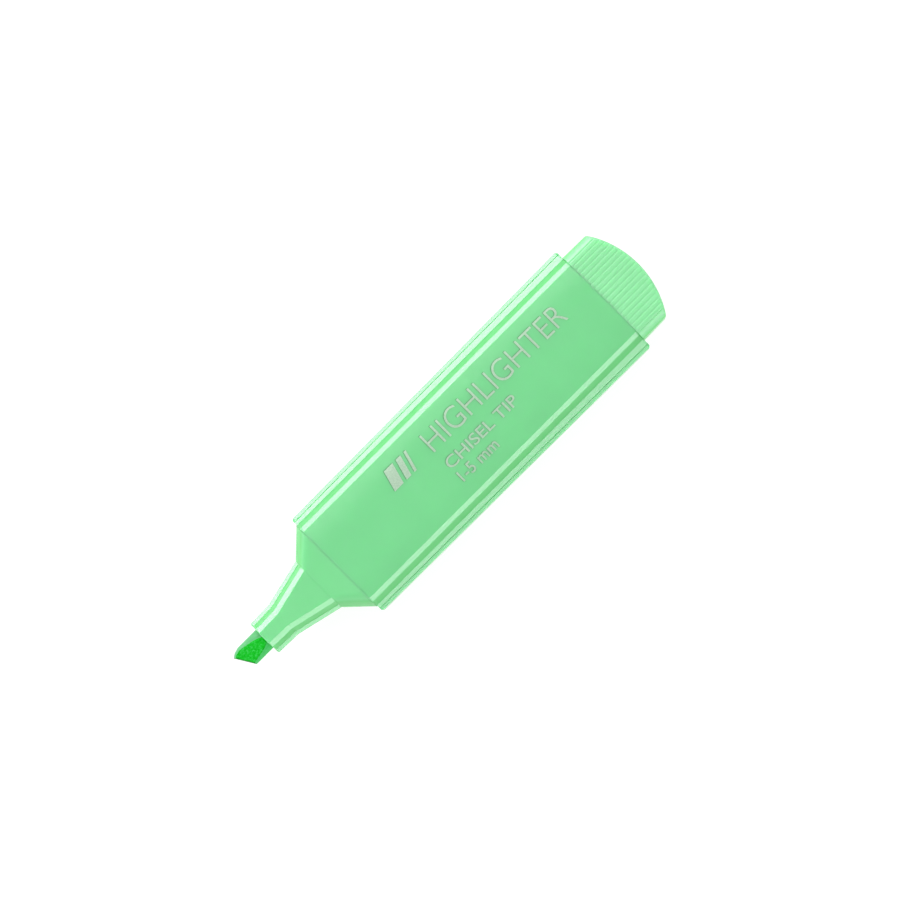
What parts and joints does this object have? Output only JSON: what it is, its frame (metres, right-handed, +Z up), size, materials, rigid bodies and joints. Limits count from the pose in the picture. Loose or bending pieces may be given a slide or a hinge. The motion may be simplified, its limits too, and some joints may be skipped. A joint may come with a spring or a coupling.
{
  "type": "highlighter",
  "caption": "Uncapped flat-barrelled highlighter pen with a slanted chisel nib, a flared neck and a ribbed plug at the rear.",
  "frame": {"origin": "under the middle of the pen, on the surface that it lies on", "axes": "+X runs from the nib to the rear plug, +Y is across the broad face, +Z is up through the pen's thickness"},
  "size_m": [0.113, 0.0268, 0.015],
  "materials": {
    "barrel_plastic": "pastel green moulding, satin",
    "front_plastic": "pastel green moulding, satin",
    "plug_plastic": "pastel green moulding, fine ribs",
    "nib_felt": "pressed felt soaked with green ink",
    "reservoir_fibre": "bundled fibre soaked with green ink",
    "film": "thin wrap"
  },
  "bodies": {
    "barrel": {"barrel": "barrel_plastic", "reservoir_core": "reservoir_fibre", "reservoir_film": "film"},
    "front_section": {"front_section": "front_plastic"},
    "nib": {"nib": "nib_felt"},
    "end_plug": {"end_plug": "plug_plastic"}
  },
  "joints": [
    {"name": "plug_pull", "type": "slide", "parent": "barrel", "child": "end_plug", "axis": [1, 0, 0], "range_m": [0, 0.02]},
    {"name": "front_pull", "type": "slide", "parent": "barrel", "child": "front_section", "axis": [-1, 0, 0], "range_m": [0, 0.022]},
    {"name": "nib_pull", "type": "slide", "parent": "front_section", "child": "nib", "axis": [-1, 0, 0], "range_m": [0, 0.042]}
  ]
}
